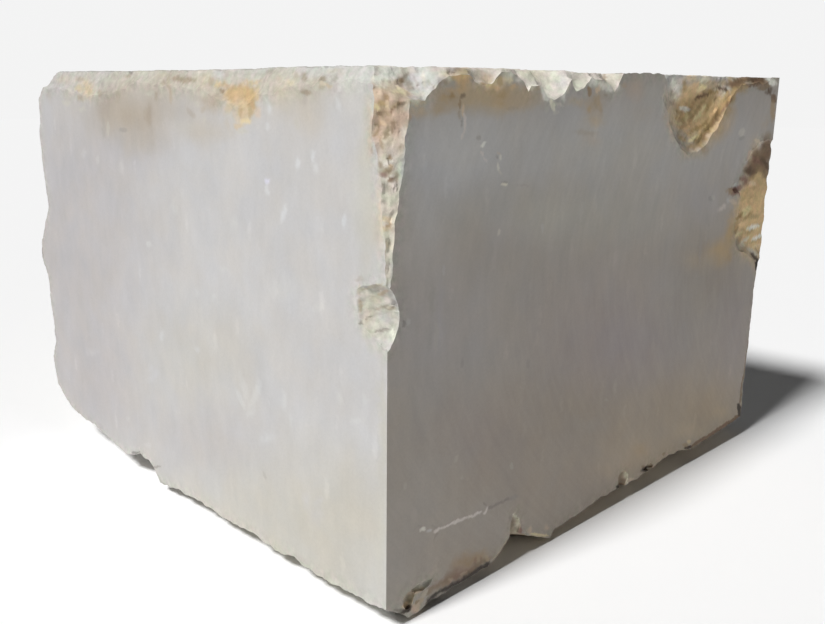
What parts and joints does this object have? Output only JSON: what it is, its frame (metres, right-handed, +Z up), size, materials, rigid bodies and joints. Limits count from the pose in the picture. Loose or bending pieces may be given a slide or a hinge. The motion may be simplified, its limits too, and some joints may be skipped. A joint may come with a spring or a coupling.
{
  "type": "quarried marble block",
  "caption": "Rough quarry block of marble with wire-sawn upright faces, a broken top edge, chipped corners and a ragged foot.",
  "frame": {"origin": "centre of the bounding box's bottom, on the plane that the block stands on", "axes": "+Z up, -Y out of the sawn front face, +X out of the sawn side face"},
  "size_m": [2.345, 2.36, 1.68],
  "materials": {
    "marble": "wire-sawn and broken marble, matt"
  },
  "bodies": {
    "root": {"marble_block": "marble"}
  },
  "joints": []
}
